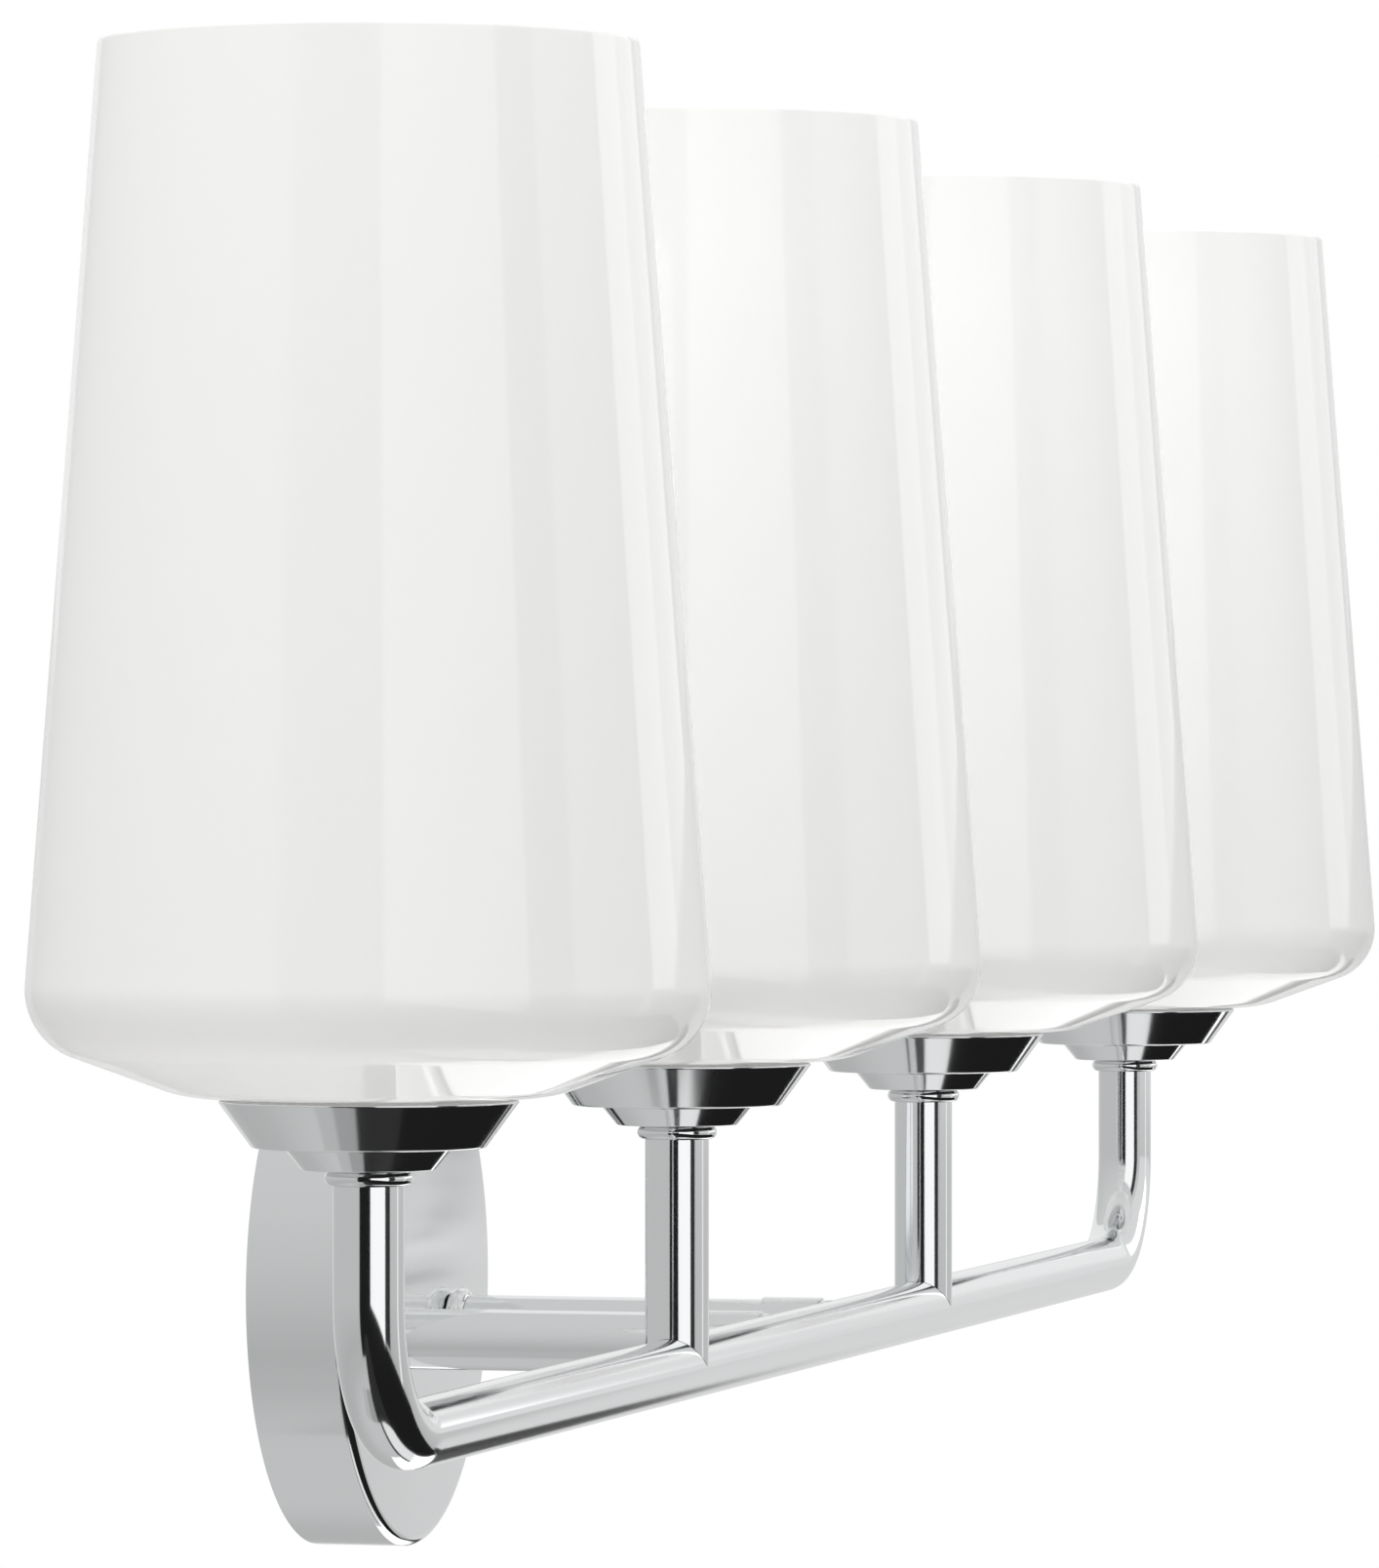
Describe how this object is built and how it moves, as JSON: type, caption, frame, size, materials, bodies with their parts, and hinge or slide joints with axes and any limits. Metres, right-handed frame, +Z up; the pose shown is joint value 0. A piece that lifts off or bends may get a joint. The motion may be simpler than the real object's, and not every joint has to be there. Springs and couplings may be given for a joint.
{
  "type": "vanity light bar",
  "caption": "Wall light bar: a bent chrome tube on two arms and a round canopy, holding tapered opal glass shades that face up over screw-base lampholders.",
  "frame": {"origin": "centre of the canopy's open back, in the wall plane", "axes": "+X along the bar, +Y into the wall, +Z up; the room is at -Y"},
  "size_m": [0.8354, 0.1832, 0.3236],
  "materials": {
    "polished_chrome": "polished",
    "opal_glass": "glossy white opal with a thin clear outer casing",
    "brass_parts": "bright",
    "zinc_plated": "zinc plated",
    "galvanised_steel": "galvanised",
    "green_screw": "green plated",
    "bare_copper": "bare copper wire",
    "black_insulation": "satin",
    "white_insulation": "satin",
    "orange_plastic": "satin",
    "clear_silicone": "satin",
    "white_porcelain": "glazed",
    "cream_phenolic": "moulded"
  },
  "bodies": {
    "root": {"bar_tube": "polished_chrome", "inner_post_left": "polished_chrome", "inner_post_right": "polished_chrome", "post_bushings": "brass_parts", "arm_left": "polished_chrome", "arm_right": "polished_chrome", "arm_bead_left": "polished_chrome", "arm_bead_right": "polished_chrome", "arm_collars": "polished_chrome", "arm_bushings": "brass_parts", "arm_nipples": "zinc_plated", "arm_star_washers": "zinc_plated", "arm_nuts": "zinc_plated", "canopy": "polished_chrome", "canopy_stiffener": "galvanised_steel", "mounting_plate": "galvanised_steel", "canopy_set_screws": "zinc_plated", "ground_screw": "green_screw", "ground_lead": "bare_copper", "black_leads": "black_insulation", "white_leads": "white_insulation", "wire_connectors": "orange_plastic", "bead_ring_1": "polished_chrome", "bead_ring_2": "polished_chrome", "bead_ring_3": "polished_chrome", "bead_ring_4": "polished_chrome", "holder_cone_1": "polished_chrome", "holder_cone_2": "polished_chrome", "holder_cone_3": "polished_chrome", "holder_cone_4": "polished_chrome", "holder_cup_1": "polished_chrome", "holder_cup_2": "polished_chrome", "holder_cup_3": "polished_chrome", "holder_cup_4": "polished_chrome", "shade_gaskets": "clear_silicone", "socket_nipples": "zinc_plated", "socket_washers": "zinc_plated", "socket_body_1": "white_porcelain", "socket_body_2": "white_porcelain", "socket_body_3": "white_porcelain", "socket_body_4": "white_porcelain", "socket_shell_1": "brass_parts", "socket_shell_2": "brass_parts", "socket_shell_3": "brass_parts", "socket_shell_4": "brass_parts", "socket_contacts": "brass_parts"},
    "shade_1": {"glass_shade_1": "opal_glass"},
    "ring_1": {"shade_ring_1": "cream_phenolic"},
    "shade_2": {"glass_shade_2": "opal_glass"},
    "ring_2": {"shade_ring_2": "cream_phenolic"},
    "shade_3": {"glass_shade_3": "opal_glass"},
    "ring_3": {"shade_ring_3": "cream_phenolic"},
    "shade_4": {"glass_shade_4": "opal_glass"},
    "ring_4": {"shade_ring_4": "cream_phenolic"}
  },
  "joints": [
    {"name": "shade_1_lift", "type": "slide", "parent": "root", "child": "shade_1", "axis": [0, 0, 1], "range_m": [0, 0.06]},
    {"name": "ring_1_lift", "type": "slide", "parent": "shade_1", "child": "ring_1", "axis": [0, 0, 1], "range_m": [0, 0.215]},
    {"name": "shade_2_lift", "type": "slide", "parent": "root", "child": "shade_2", "axis": [0, 0, 1], "range_m": [0, 0.06]},
    {"name": "ring_2_lift", "type": "slide", "parent": "shade_2", "child": "ring_2", "axis": [0, 0, 1], "range_m": [0, 0.215]},
    {"name": "shade_3_lift", "type": "slide", "parent": "root", "child": "shade_3", "axis": [0, 0, 1], "range_m": [0, 0.06]},
    {"name": "ring_3_lift", "type": "slide", "parent": "shade_3", "child": "ring_3", "axis": [0, 0, 1], "range_m": [0, 0.215]},
    {"name": "shade_4_lift", "type": "slide", "parent": "root", "child": "shade_4", "axis": [0, 0, 1], "range_m": [0, 0.06]},
    {"name": "ring_4_lift", "type": "slide", "parent": "shade_4", "child": "ring_4", "axis": [0, 0, 1], "range_m": [0, 0.215]}
  ]
}
